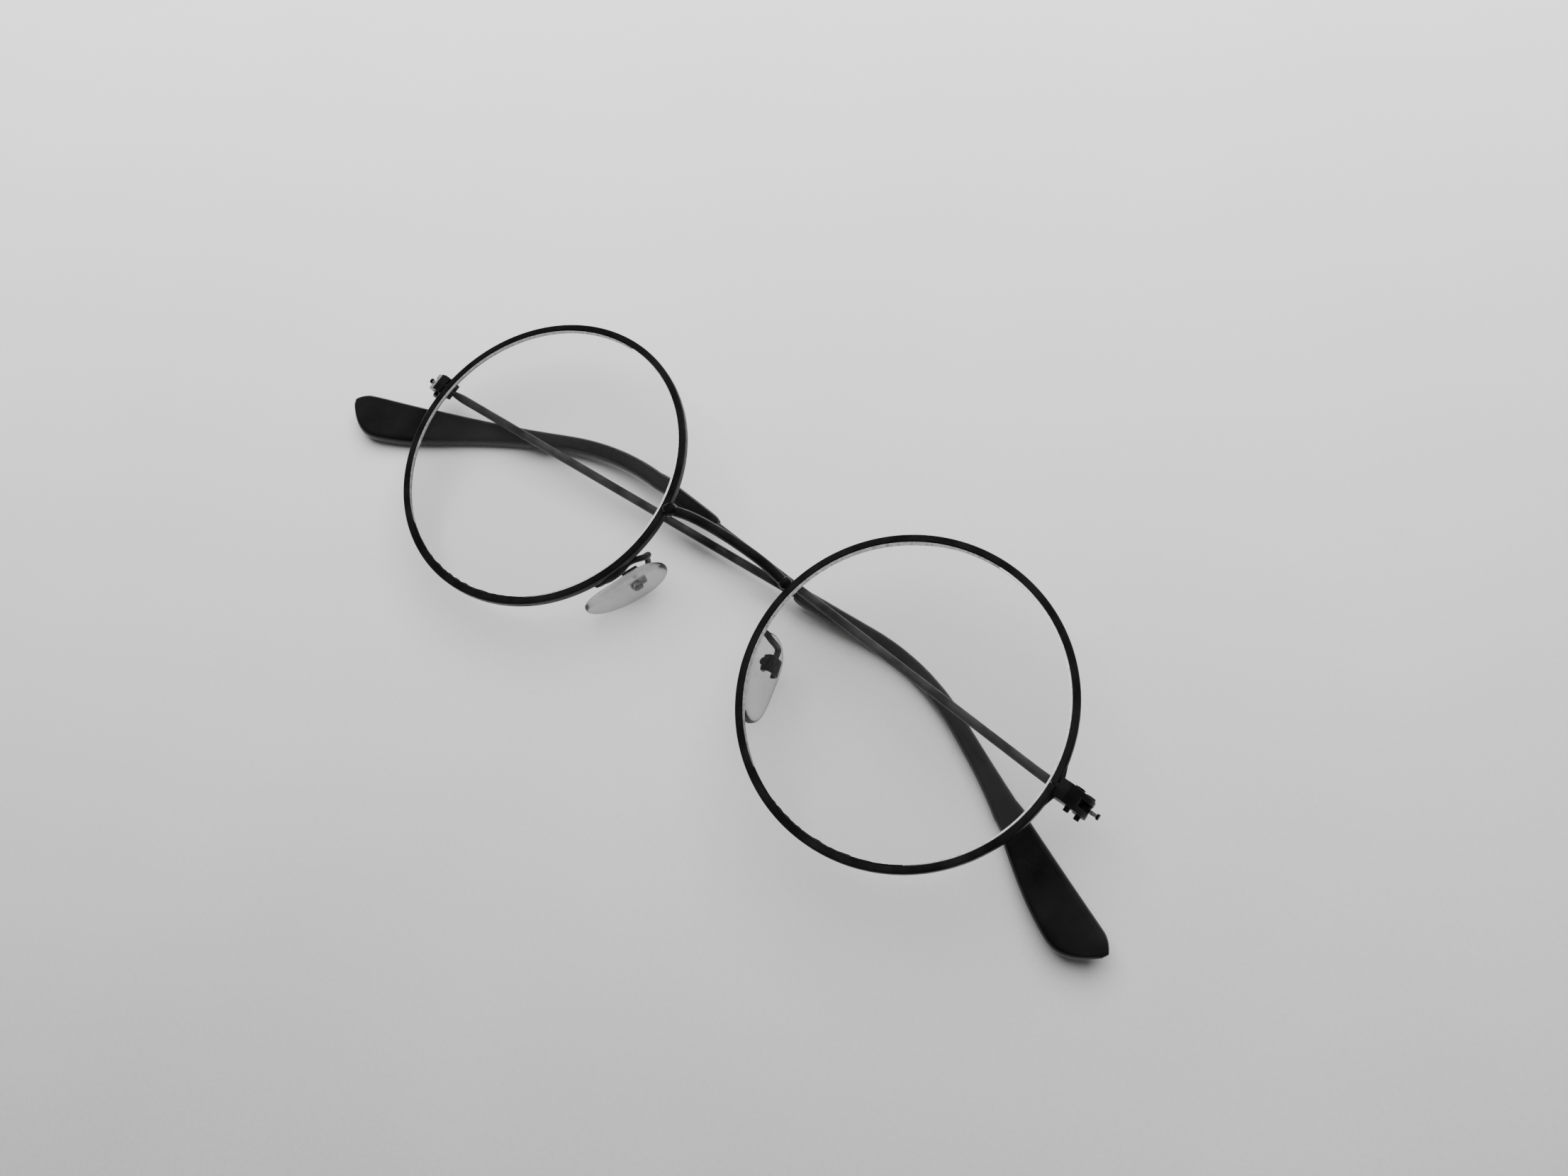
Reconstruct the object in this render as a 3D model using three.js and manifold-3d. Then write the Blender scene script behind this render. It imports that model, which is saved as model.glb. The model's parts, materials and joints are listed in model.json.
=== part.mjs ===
// Round wire eyeglasses, folded, lying front up with their temples underneath.
// Units are millimetres. World +Z is up from the surface that the glasses lie on.
//
// Everything is laid out in the FRONT frame: X across the face, Y up as worn,
// Z out of the front of the lenses. "left" is -X and "right" is +X there.
// The left temple folds towards +X and the right temple towards -X.
// The pieces of one side are drawn for the right side (+X) and mirrored for the left.

import * as THREE from 'three';
import Module from 'manifold-3d';
import { mergeVertices, mergeGeometries } from 'three/addons/utils/BufferGeometryUtils.js';

const wasm = await Module();
wasm.setup();

const DEG = Math.PI / 180;

// ---------- driving dimensions ----------

const RIM_CENTRE_X = 34.66;       // half the distance between lens centres
const RIM_INNER_R = 22.5;         // visible opening, for a 46 mm lens
const RIM_OUTER_R = 23.55;
const RIM_DEPTH = 1.5;
const RIM_EDGE_ROUND = 0.3;
const GROOVE_DEPTH = 0.55;        // V groove that holds the bevelled lens
const GROOVE_HALF = 0.34;
const WRAP = 1.76 * DEG;          // each half of the front is swept back this much
const RIM_SPLIT = 0.25;           // saw cut in the rim behind the endpiece
const RING_SEGMENTS = 72;

const LENS_GAP = 0.07;
const LENS_FRONT_R = 95;          // radii of the two curved faces
const LENS_BACK_R = 92;
const LENS_EDGE_HALF = 0.6;

const BRIDGE_END = new THREE.Vector3(11.25, 4.3, -1.05);
const BRIDGE_TOP = new THREE.Vector3(0, 5.2, 0.75);
const BRIDGE_R = 0.78;

const BAR_BOTTOM = 0.2;           // the endpiece strip's height range as worn
const BAR_TOP = 2.95;
const BAR_MID = (BAR_BOTTOM + BAR_TOP) / 2;
const HINGE_X = 61.8;             // temple hinge axis, parallel to Y
const HINGE_Z = -6.2;
const KNUCKLE_R = 1.0;
const KNUCKLE_GAP = 0.05;
const CENTRE_KNUCKLE_HALF = 0.55;
const HINGE_SCREW_R = 0.42;
const HOLE_GAP = 0.05;
const SCREW_HEAD_R = 0.78;
const SCREW_HEAD_H = 0.35;
const SCREW_TAIL = 0.6;           // how far the screws stand out below
const LOCK_X = 60.4;              // rim lock screw axis
const LOCK_Z = -4.3;
const PIN_R = 0.3;
const PIN_HEAD_R = 0.44;
const PIN_LENGTH = 1.35;
const PIN_SLOT_HALF = 0.52;

const WIRE_R = 0.68;
const WIRE_START = 2.7;           // all temple lengths run from the hinge axis
const SLEEVE_START = 70.4;
const WIRE_END = 79.5;
const BEND_START = 83.4;
const BEND_END = 102.4;
const BEND_LEFT = 30 * DEG;       // how far each tip drops
const BEND_RIGHT = 29 * DEG;
const CURL_ANGLE = 17 * DEG;      // and how far both curl towards the head
const TEMPLE_LENGTH = 139.95;
const SLEEVE_HALF = 1.33;         // half the height of the sleeve before it widens
const SLEEVE_THICKNESS = 2.65;
const TOP_FLARE_START = 100;
const BELLY_START = 104;
const BELLY_AT = 131.9;           // lowest place of the paddle
const PADDLE_TOP = 3.6;
const PADDLE_BELLY = 3.92;
const PADDLE_THICKNESS = 2.8;
const PADDLE_EDGE = 1.15;
const END_TAPER_START = 134;
const END_OPEN = 0.1;             // how far past its end the tip would taper to nothing
const NOSE_DROP = 0.95;           // how far the paddle's top edge comes down at its end
const NOSE_RISE = 5.45;           // how far its lower edge comes up at its end
const SLEEVE_EDGE = 1.28;         // corner radii of the round sleeve; PADDLE_EDGE is the flat paddle's
const MOUTH_LIP = 0.38;           // the sleeve's mouth is narrower by this, over a length of MOUTH_FADE
const MOUTH_FADE = 0.6;
const THICKEN_START = 112;
const THICKEN_END = 130;
const FLATTEN_START = 96;
const FLATTEN_END = 118;
const BEND_RINGS = 18;            // sections drawn along the bend, and along the rounded end
const NOSE_RINGS = 9;
const NOSE_START = 137.2;         // here the paddle's top begins to round down to its end
const FOLD_LEFT = 5.8 * DEG;      // how far each folded temple slopes away from the front
const FOLD_RIGHT = 3.3 * DEG;
const RISE_LEFT = 3.35 * DEG;     // how far each temple climbs away from its hinge
const RISE_RIGHT = 4.74 * DEG;

const PAD_LEFT = { at: new THREE.Vector3(13.2, -8.5, -8.7), splay: -3 * DEG };
const PAD_RIGHT = { at: new THREE.Vector3(13.0, -8.1, -8.9), splay: 24 * DEG };
const PAD_LEAN = 27 * DEG;        // the pads spread downwards
const PAD_HALF_LENGTH = 7.0;
const PAD_HALF_WIDTH = 3.8;
const PAD_THICKNESS = 1.6;
const PAD_BOX = { length: 2.6, width: 2.9, below: 1.2, above: 0.45, wall: 0.4 };
const PAD_BOX_U = -1.8;           // the box sits above the middle of the pad
const PAD_BOX_N = -1.25;
const PAD_LOBE_R = 0.72;
const PAD_LOBE_HALF = 0.85;
const PAD_SCREW_R = 0.36;
const PAD_SCREW_HEAD_R = 0.62;
const ARM_R = 0.48;
const ARM_FOOT_R = 23.1;          // the arm's foot lies behind the ring at this radius

const LIE_PITCH = 7.52 * DEG;     // how the front leans when the glasses lie down
const LIE_ROLL = -3.04 * DEG;

// ---------- materials ----------

function finish(colour, roughness, metalness) {
  return () => new THREE.MeshStandardMaterial({ color: colour, roughness, metalness });
}

const blackEnamel = finish(0x101011, 0.32, 0.5);
const darkScrew = finish(0x2a2a2c, 0.4, 0.9);
const blackPlastic = finish(0x0b0b0c, 0.18, 0.0);
const brightPin = finish(0x9a9a9c, 0.35, 1.0);

function clearMaterial(colour, opacity, roughness) {
  const material = new THREE.MeshStandardMaterial({ color: colour, roughness, metalness: 0 });
  material.transparent = true;
  material.opacity = opacity;
  return () => material.clone();
}

const clearLens = clearMaterial(0xe8ecec, 0.18, 0.05);
const clearPad = clearMaterial(0xdedede, 0.5, 0.25);

// ---------- solids ----------

function toSolid(geometry) {
  const bare = geometry.clone();
  bare.deleteAttribute('normal');
  bare.deleteAttribute('uv');
  const merged = mergeVertices(bare, 1e-4);
  const vertProperties = Float32Array.from(merged.attributes.position.array);
  const triVerts = Uint32Array.from(merged.index.array);
  return new wasm.Manifold(new wasm.Mesh({ numProp: 3, vertProperties, triVerts }));
}

function toGeometry(solid) {
  const mesh = solid.getMesh();
  const geometry = new THREE.BufferGeometry();
  geometry.setAttribute('position', new THREE.BufferAttribute(Float32Array.from(mesh.vertProperties), 3));
  geometry.setIndex(new THREE.BufferAttribute(Uint32Array.from(mesh.triVerts), 1));
  return geometry;
}

function cut(geometry, ...tools) {
  return toGeometry(tools.reduce((solid, tool) => solid.subtract(toSolid(tool)), toSolid(geometry)));
}

function join(geometry, ...others) {
  return toGeometry(others.reduce((solid, other) => solid.add(toSolid(other)), toSolid(geometry)));
}

function mirrorX(geometry) {
  const bare = geometry.clone();
  bare.deleteAttribute('normal');
  bare.deleteAttribute('uv');
  const flipped = mergeVertices(bare, 1e-4);
  flipped.scale(-1, 1, 1);
  const index = flipped.index.array;
  for (let i = 0; i < index.length; i += 3) {
    [index[i], index[i + 1]] = [index[i + 1], index[i]];
  }
  return flipped;
}

function block(low, high) {
  const size = high.map((value, i) => value - low[i]);
  const middle = high.map((value, i) => (value + low[i]) / 2);
  return new THREE.BoxGeometry(...size).translate(...middle);
}

// A cylinder along Y from y0 to y1.
function post(x, z, radius, y0, y1, sides = 20) {
  return new THREE.CylinderGeometry(radius, radius, y1 - y0, sides).translate(x, (y0 + y1) / 2, z);
}

// A cylinder along X from x0 to x1.
function rod(y, z, radius, x0, x1, sides = 16) {
  const geometry = new THREE.CylinderGeometry(radius, radius, x1 - x0, sides);
  return geometry.rotateZ(Math.PI / 2).translate((x0 + x1) / 2, y, z);
}

// A flat outline drawn in X and Z, given thickness from y0 to y1.
function slab(outline, y0, y1) {
  const shape = new THREE.Shape(outline.map(([x, z]) => new THREE.Vector2(x, z)));
  const geometry = new THREE.ExtrudeGeometry(shape, { depth: y1 - y0, bevelEnabled: false });
  return geometry.rotateX(Math.PI / 2).translate(0, y1, 0);
}

// A round tube with closed ends along a curve.
function tube(curve, radius, steps, sides = 10) {
  const section = new THREE.Shape();
  for (let i = 0; i < sides; i++) {
    const angle = (2 * Math.PI * i) / sides;
    const x = radius * Math.cos(angle);
    const y = radius * Math.sin(angle);
    if (i === 0) section.moveTo(x, y);
    else section.lineTo(x, y);
  }
  section.closePath();
  return new THREE.ExtrudeGeometry(section, { steps, extrudePath: curve, bevelEnabled: false });
}

// A closed skin through a list of rings that all hold the same number of points.
function loft(rings) {
  const sides = rings[0].length;
  const positions = [];
  const index = [];
  const middleOf = (ring) => ring.reduce((sum, p) => sum.add(p), new THREE.Vector3()).divideScalar(sides);
  rings.flat().forEach((p) => positions.push(p.x, p.y, p.z));
  for (const ring of [rings[0], rings.at(-1)]) {
    const middle = middleOf(ring);
    positions.push(middle.x, middle.y, middle.z);
  }
  const firstMiddle = rings.length * sides;
  const lastRing = (rings.length - 1) * sides;
  for (let i = 0; i < sides; i++) {
    const next = (i + 1) % sides;
    for (let r = 0; r < rings.length - 1; r++) {
      const here = r * sides;
      const there = here + sides;
      index.push(here + i, here + next, there + next, here + i, there + next, there + i);
    }
    index.push(firstMiddle, next, i, firstMiddle + 1, lastRing + i, lastRing + next);
  }
  const geometry = new THREE.BufferGeometry();
  geometry.setAttribute('position', new THREE.Float32BufferAttribute(positions, 3));
  geometry.setIndex(index);
  return geometry;
}

// ---------- front: rims, lenses and bridge ----------

// A closed profile of [radius, z] points turned about the Z axis.
function turned(profile) {
  const points = profile.map(([radius, z]) => new THREE.Vector2(radius, z));
  return new THREE.LatheGeometry(points, RING_SEGMENTS).rotateX(Math.PI / 2);
}

function rimRing() {
  const back = -RIM_DEPTH;
  const middle = back / 2;
  const e = RIM_EDGE_ROUND;
  const profile = [
    [RIM_INNER_R, 0],
    [RIM_INNER_R, middle + GROOVE_HALF],
    [RIM_INNER_R + GROOVE_DEPTH, middle],
    [RIM_INNER_R, middle - GROOVE_HALF],
    [RIM_INNER_R, back],
    [RIM_OUTER_R - e, back],
    [RIM_OUTER_R, back + e],
    [RIM_OUTER_R, -e],
    [RIM_OUTER_R - e, 0],
    [RIM_INNER_R, 0],
  ];
  const saw = block(
    [RIM_INNER_R - 1, BAR_MID - RIM_SPLIT / 2, back - 1],
    [RIM_OUTER_R + 1, BAR_MID + RIM_SPLIT / 2, 1],
  );
  return cut(turned(profile), saw);
}

function lensBlank() {
  const edge = RIM_INNER_R - LENS_GAP;
  const middle = -RIM_DEPTH / 2;
  const arc = (radius, height, steps) => Array.from({ length: steps + 1 }, (_, i) => {
    const r = (edge * i) / steps;
    return [r, height + Math.sqrt(radius ** 2 - r ** 2) - Math.sqrt(radius ** 2 - edge ** 2)];
  });
  return turned([
    ...arc(LENS_BACK_R, middle - LENS_EDGE_HALF, 4),
    [edge, middle - GROOVE_HALF + LENS_GAP],
    [edge + GROOVE_DEPTH - LENS_GAP, middle],
    [edge, middle + GROOVE_HALF - LENS_GAP],
    ...arc(LENS_FRONT_R, middle + LENS_EDGE_HALF, 4).reverse(),
  ]);
}

function onRim(geometry) {
  return geometry.translate(RIM_CENTRE_X, 0, 0).rotateY(WRAP);
}

function bridge() {
  const { x, y, z } = BRIDGE_END;
  const curve = new THREE.CatmullRomCurve3([
    new THREE.Vector3(-x, y, z),
    new THREE.Vector3(-x * 0.62, (y + BRIDGE_TOP.y) / 2 + 0.22, (z + BRIDGE_TOP.z) / 2 + 0.15),
    BRIDGE_TOP,
    new THREE.Vector3(x * 0.62, (y + BRIDGE_TOP.y) / 2 + 0.22, (z + BRIDGE_TOP.z) / 2 + 0.15),
    new THREE.Vector3(x, y, z),
  ]);
  return tube(curve, BRIDGE_R, 20, 12);
}

// ---------- endpiece, rim lock and hinge, right side ----------

const LOBE_BOTTOM = BAR_BOTTOM + 0.05;
const LOBE_TOP = BAR_TOP - 0.05;
const CENTRE_BOTTOM = BAR_MID - CENTRE_KNUCKLE_HALF;
const CENTRE_TOP = BAR_MID + CENTRE_KNUCKLE_HALF;

// The way the stop pin sweeps as the temple opens.
function pinSlot(x0, z0, z1) {
  return block([x0, BAR_MID - PIN_SLOT_HALF, z0], [HINGE_X + 3, BAR_MID + PIN_SLOT_HALF, z1]);
}

function endpiece() {
  const outline = [
    [57.8, -1.7], [59.7, -1.75], [62.35, -4.3], [62.8, -5.15],
    [62.1, -5.15], [61.75, -4.75], [59.4, -2.5], [57.8, -2.5],
  ];
  const strip = slab(outline, BAR_BOTTOM, BAR_TOP);
  const besideRim = RIM_OUTER_R + 0.05;
  const ringSpace = new THREE.CylinderGeometry(besideRim, besideRim, 12, RING_SEGMENTS);
  return cut(strip, onRim(ringSpace.rotateX(Math.PI / 2)), pinSlot(HINGE_X - 0.48, -5.5, -3.3));
}

function lockBlock(y0, y1) {
  const outline = [
    [58.5, -2.6], [59.3, -2.6], [61.55, -4.75], [61.55, -5.0],
    [58.1, -5.0], [56.85, -4.1], [56.85, -3.36], [58.5, -3.36],
  ];
  const body = slab(outline, y0, y1);
  return cut(
    body,
    pinSlot(HINGE_X - 0.48, -5.5, -2),
    post(LOCK_X, LOCK_Z, HINGE_SCREW_R + HOLE_GAP, BAR_BOTTOM - 1, BAR_TOP + 1),
  );
}

// A screw along Y with a slotted head on top and its tail standing out below.
function verticalScrew(x, z) {
  const seat = LOBE_TOP + HOLE_GAP;
  const shaft = post(x, z, HINGE_SCREW_R, BAR_BOTTOM - SCREW_TAIL, seat);
  const head = post(x, z, SCREW_HEAD_R, seat, seat + SCREW_HEAD_H);
  const slot = block([x - 1, seat + 0.2, z - 0.1], [x + 1, seat + 1, z + 0.1]);
  return cut(join(shaft, head), slot);
}

function hingeHole() {
  return post(HINGE_X, HINGE_Z, HINGE_SCREW_R + HOLE_GAP, BAR_BOTTOM - 1, BAR_TOP + 1);
}

function frontKnuckle(y0, y1) {
  const lobe = post(HINGE_X, HINGE_Z, KNUCKLE_R, y0, y1, 24);
  const arm = block([HINGE_X + 0.25, y0, HINGE_Z - 0.2], [HINGE_X + KNUCKLE_R, y1, -5.2]);
  return cut(join(lobe, arm), hingeHole());
}

// ---------- temple, drawn from the hinge axis along +X ----------

// Heading of the temple at a length, as a unit vector.
function templeDirection(length, bend) {
  const drop = bend * THREE.MathUtils.clamp((length - BEND_START) / (BEND_END - BEND_START), 0, 1);
  const curl = CURL_ANGLE * THREE.MathUtils.clamp(
    (length - BEND_START) / (TEMPLE_LENGTH - BEND_START),
    0,
    1,
  );
  return new THREE.Vector3(
    Math.cos(drop) * Math.cos(curl),
    -Math.sin(drop),
    Math.cos(drop) * Math.sin(curl),
  );
}

function templePoint(length, bend) {
  const step = 0.25;
  const point = new THREE.Vector3(Math.min(length, BEND_START), 0, 0);
  for (let at = BEND_START; at < length; at += step) {
    const stride = Math.min(step, length - at);
    point.addScaledVector(templeDirection(at + stride / 2, bend), stride);
  }
  return point;
}

// The plastic sleeve's section at a length: how far its top and bottom stand from the temple line,
// its thickness and the radius of its edges.
function sleeveSection(at) {
  const { smoothstep, lerp } = THREE.MathUtils;
  const start = SLEEVE_HALF - MOUTH_LIP * Math.exp((SLEEVE_START - at) / MOUTH_FADE);
  const spread = Math.max(0, at - TOP_FLARE_START) / (NOSE_START - TOP_FLARE_START);
  const nose = Math.max(0, at - NOSE_START) / (TEMPLE_LENGTH - NOSE_START);
  const rise = Math.max(0, at - BELLY_AT) / (TEMPLE_LENGTH - BELLY_AT);
  const top = start + (PADDLE_TOP - SLEEVE_HALF) * Math.min(1, spread) ** 1.5 - NOSE_DROP * nose ** 2;
  const belly = (PADDLE_BELLY - SLEEVE_HALF) * smoothstep(at, BELLY_START, BELLY_AT) ** 1.5;
  const bottom = NOSE_RISE * rise ** 4 - start - belly;
  const closing = Math.max(0, at - END_TAPER_START) / (TEMPLE_LENGTH + END_OPEN - END_TAPER_START);
  const full = lerp(SLEEVE_THICKNESS, PADDLE_THICKNESS, smoothstep(at, THICKEN_START, THICKEN_END));
  const thickness = full * (start / SLEEVE_HALF) * Math.sqrt(1 - closing ** 2);
  const edge = lerp(SLEEVE_EDGE, PADDLE_EDGE, smoothstep(at, FLATTEN_START, FLATTEN_END));
  return { top, bottom, thickness, edge: Math.min(edge, 0.48 * thickness, 0.48 * (top - bottom)) };
}

// Where the sleeve is cut into rings: close together where its shape changes fast.
function sleevePlaces() {
  const places = [0, 0.4, 1.2, 6.6].map((past) => SLEEVE_START + past);
  for (let i = 0; i < BEND_RINGS; i++) {
    places.push(THREE.MathUtils.lerp(BEND_START, BELLY_AT, i / BEND_RINGS));
  }
  for (let i = 0; i <= NOSE_RINGS; i++) {
    places.push(THREE.MathUtils.lerp(BELLY_AT, TEMPLE_LENGTH, Math.sin((90 * DEG * i) / NOSE_RINGS)));
  }
  return places;
}

const CORNER_POINTS = 4;

function sleeveRing(place, bend) {
  const { top, bottom, thickness, edge } = sleeveSection(place);
  const forward = templeDirection(place, bend);
  const across = new THREE.Vector3(0, 0, 1).addScaledVector(forward, -forward.z).normalize();
  const up = new THREE.Vector3().crossVectors(across, forward);
  const middle = templePoint(place, bend).addScaledVector(up, (top + bottom) / 2);
  const half = [(top - bottom) / 2, thickness / 2];
  return Array.from({ length: 4 * CORNER_POINTS }, (_, i) => {
    const angle = (90 * DEG * (i + 0.5)) / CORNER_POINTS;
    const reach = [Math.cos(angle), Math.sin(angle)].map((direction, axis) => (
      Math.sign(direction) * (half[axis] - edge) + direction * edge
    ));
    return middle.clone().addScaledVector(up, reach[0]).addScaledVector(across, reach[1]);
  });
}

function templeTip(bend) {
  const skin = loft(sleevePlaces().map((place) => sleeveRing(place, bend)));
  return cut(skin, rod(0, 0, WIRE_R + HOLE_GAP, SLEEVE_START - 1, WIRE_END + 0.2, 12));
}

function templeWire() {
  const neck = 0.45;
  const profile = [
    [0, WIRE_START], [neck, WIRE_START], [WIRE_R, WIRE_START + 2.2], [WIRE_R, WIRE_END], [0, WIRE_END],
  ];
  const points = profile.map(([radius, at]) => new THREE.Vector2(radius, at));
  return new THREE.LatheGeometry(points, 12).rotateZ(-Math.PI / 2);
}

function templeKnuckle() {
  const barrel = post(0, 0, KNUCKLE_R - KNUCKLE_GAP, -CENTRE_KNUCKLE_HALF, CENTRE_KNUCKLE_HALF, 24);
  const shank = block([0.4, -0.5, -0.55], [WIRE_START - 0.05, 0.5, 0.55]);
  const hole = post(0, 0, HINGE_SCREW_R + HOLE_GAP, -2, 2);
  return cut(join(barrel, shank), hole);
}

function stopPin() {
  const base = -(KNUCKLE_R + 0.02);
  const shaft = rod(0, 0, PIN_R, base - PIN_LENGTH, base, 12);
  const head = rod(0, 0, PIN_HEAD_R, base - PIN_LENGTH, base - PIN_LENGTH + 0.35, 12);
  return join(shaft, head);
}

// ---------- nose pads, right side, in the pad's own frame ----------
// X runs down the pad, Y towards the nose, Z from the front edge to the back edge.

function padFrame({ at, splay }) {
  const back = new THREE.Vector3(Math.sin(splay), 0, -Math.cos(splay));
  const down = new THREE.Vector3(Math.sin(PAD_LEAN), -Math.cos(PAD_LEAN), 0);
  down.addScaledVector(back, -down.dot(back)).normalize();
  const nose = new THREE.Vector3().crossVectors(back, down);
  return new THREE.Matrix4().makeBasis(down, nose, back).setPosition(at);
}

function padBody() {
  const around = 16;
  const stations = [-1, -0.97, -0.88, -0.7, -0.45, -0.15, 0.2, 0.5, 0.75, 0.9, 0.975, 1];
  return loft(stations.map((t) => {
    const round = Math.sqrt(Math.max(0, 1 - Math.abs(t) ** 2.6));
    const half = Math.max(0.12, PAD_HALF_WIDTH * round * (1 - 0.17 * t));
    const thick = Math.max(0.1, (PAD_THICKNESS / 2) * round ** 0.6);
    const crown = 0.9 * (1 - t * t) - 0.45;
    return Array.from({ length: around }, (_, i) => {
      const angle = (-2 * Math.PI * i) / around;
      const w = half * Math.cos(angle);
      const bow = crown - 0.35 * (w / PAD_HALF_WIDTH) ** 2;
      return new THREE.Vector3(PAD_HALF_LENGTH * t, thick * Math.sin(angle) + bow, w);
    });
  }));
}

// A cylinder along the pad screw's axis.
function padAxle(radius, w0, w1, around = 16) {
  return new THREE.CylinderGeometry(radius, radius, w1 - w0, around).rotateX(Math.PI / 2)
    .translate(PAD_BOX_U, PAD_BOX_N, (w0 + w1) / 2);
}

function nosePad() {
  const lobe = padAxle(PAD_LOBE_R, -PAD_LOBE_HALF, PAD_LOBE_HALF, 20);
  const tab = block(
    [PAD_BOX_U - 0.6, PAD_BOX_N, -PAD_LOBE_HALF],
    [PAD_BOX_U + 0.6, 0.1, PAD_LOBE_HALF],
  );
  return cut(join(padBody(), lobe, tab), padAxle(PAD_SCREW_R + HOLE_GAP, -3, 3));
}

function padBox() {
  const { length, width, below, above, wall } = PAD_BOX;
  const outer = block(
    [PAD_BOX_U - length / 2, PAD_BOX_N - below, -width / 2],
    [PAD_BOX_U + length / 2, PAD_BOX_N + above, width / 2],
  );
  const inner = block(
    [PAD_BOX_U - length, PAD_BOX_N - below + wall, -PAD_LOBE_HALF - 0.1],
    [PAD_BOX_U + length, PAD_BOX_N + above + 1, PAD_LOBE_HALF + 0.1],
  );
  return cut(outer, inner, padAxle(PAD_SCREW_R + HOLE_GAP, -3, 3));
}

function padScrew() {
  const face = PAD_BOX.width / 2 + 0.03;
  const shaft = padAxle(PAD_SCREW_R, -face - 0.2, face + 0.15);
  const head = padAxle(PAD_SCREW_HEAD_R, -face - 0.3, -face);
  const slot = block(
    [PAD_BOX_U - 1, PAD_BOX_N - 0.1, -face - 1],
    [PAD_BOX_U + 1, PAD_BOX_N + 0.1, -face - 0.16],
  );
  return cut(join(shaft, head), slot);
}

// The wire that carries the box: a foot along the back of the rim, a loop, then down to the box.
function padArm(pad) {
  const foot = [209, 201, 193].map((angle) => {
    const point = new THREE.Vector3(ARM_FOOT_R, 0, 0).applyAxisAngle(new THREE.Vector3(0, 0, 1), angle * DEG);
    point.add(new THREE.Vector3(RIM_CENTRE_X, 0, -RIM_DEPTH - ARM_R - 0.09));
    return point.applyAxisAngle(new THREE.Vector3(0, 1, 0), WRAP);
  });
  const top = PAD_BOX_U - PAD_BOX.length / 2 - 0.03;
  const landing = [top - 1.3, top].map((u) => (
    new THREE.Vector3(u, PAD_BOX_N - 0.55, 0).applyMatrix4(padFrame(pad))
  ));
  const curve = new THREE.CatmullRomCurve3([
    ...foot,
    new THREE.Vector3(11.2, -3.5, -3.2),
    new THREE.Vector3(11.5, -2.7, -4.4),
    new THREE.Vector3(12.2, -2.9, -5.9),
    ...landing,
  ]);
  return tube(curve, ARM_R, 34, 10);
}

// ---------- assembly ----------

const front = new THREE.Group();

function addPiece(parent, name, geometry, material) {
  const mesh = new THREE.Mesh(geometry, material());
  mesh.name = name;
  parent.add(mesh);
  return mesh;
}

addPiece(front, 'bridge', bridge(), blackEnamel);

const sides = [
  { side: 'left', sign: -1, fold: FOLD_LEFT, rise: RISE_LEFT, bend: BEND_LEFT, pad: PAD_LEFT },
  { side: 'right', sign: 1, fold: FOLD_RIGHT, rise: RISE_RIGHT, bend: BEND_RIGHT, pad: PAD_RIGHT },
];

for (const { side, sign, fold, rise, bend, pad } of sides) {
  const place = (geometry) => (sign < 0 ? mirrorX(geometry) : geometry);
  const fixed = (name, geometry, material) => addPiece(front, `${side}_${name}`, place(geometry), material);

  fixed('rim', onRim(rimRing()), blackEnamel);
  fixed('lens', onRim(lensBlank()), clearLens);
  fixed('endpiece', endpiece(), blackEnamel);
  fixed('rim_lock_lower', lockBlock(LOBE_BOTTOM, BAR_MID - 0.05), blackEnamel);
  fixed('rim_lock_upper', lockBlock(BAR_MID + 0.05, LOBE_TOP), blackEnamel);
  fixed('rim_lock_screw', verticalScrew(LOCK_X, LOCK_Z), darkScrew);
  fixed('hinge_lobe_lower', frontKnuckle(LOBE_BOTTOM, CENTRE_BOTTOM - KNUCKLE_GAP), blackEnamel);
  fixed('hinge_lobe_upper', frontKnuckle(CENTRE_TOP + KNUCKLE_GAP, LOBE_TOP), blackEnamel);
  fixed('hinge_screw', verticalScrew(HINGE_X, HINGE_Z), darkScrew);

  const padPlace = padFrame(pad);
  fixed('pad_arm', padArm(pad), blackEnamel);
  fixed('pad_box', padBox().applyMatrix4(padPlace), darkScrew);
  fixed('pad_screw', padScrew().applyMatrix4(padPlace), darkScrew);
  fixed('nose_pad', nosePad().applyMatrix4(padPlace), clearPad);

  // The temple is drawn along +X for the left side, so the right one is the mirrored copy.
  const temple = new THREE.Group();
  temple.position.set(sign * HINGE_X, BAR_MID, HINGE_Z);
  temple.rotation.y = -sign * fold;
  front.add(temple);
  const tilt = (geometry) => geometry.rotateZ(rise);
  const hung = (name, geometry, material) => {
    addPiece(temple, `${side}_${name}`, sign < 0 ? geometry : mirrorX(geometry), material);
  };
  hung('temple_knuckle', templeKnuckle(), blackEnamel);
  hung('stop_pin', stopPin(), brightPin);
  hung('temple_wire', tilt(templeWire()), blackEnamel);
  hung('temple_tip', tilt(templeTip(bend)), blackPlastic);
}

// Lay the glasses down, then put the origin under the middle of their box.
const glasses = new THREE.Group();
front.rotation.set(LIE_PITCH, LIE_ROLL, 0, 'YXZ');
glasses.add(front);
glasses.updateMatrixWorld(true);
const bounds = new THREE.Box3().setFromObject(glasses, true);
const centre = bounds.getCenter(new THREE.Vector3());
front.position.set(-centre.x, -centre.y, -bounds.min.z);

export default glasses;
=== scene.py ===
"""Round wire eyeglasses lying folded, front up, on pale paper.

Shapes are worked out in the FRONT frame of the glasses, in millimetres: X across the face,
Y up as worn, Z out of the front of the lenses. "left" is -X there and "right" is +X.
Rims, lenses and pads are drawn for the right side and temples for the left. The other side
is mirrored.
"""

import json
import math
import random

import bmesh
import bpy
import numpy as np
from mathutils import Matrix, Vector


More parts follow.
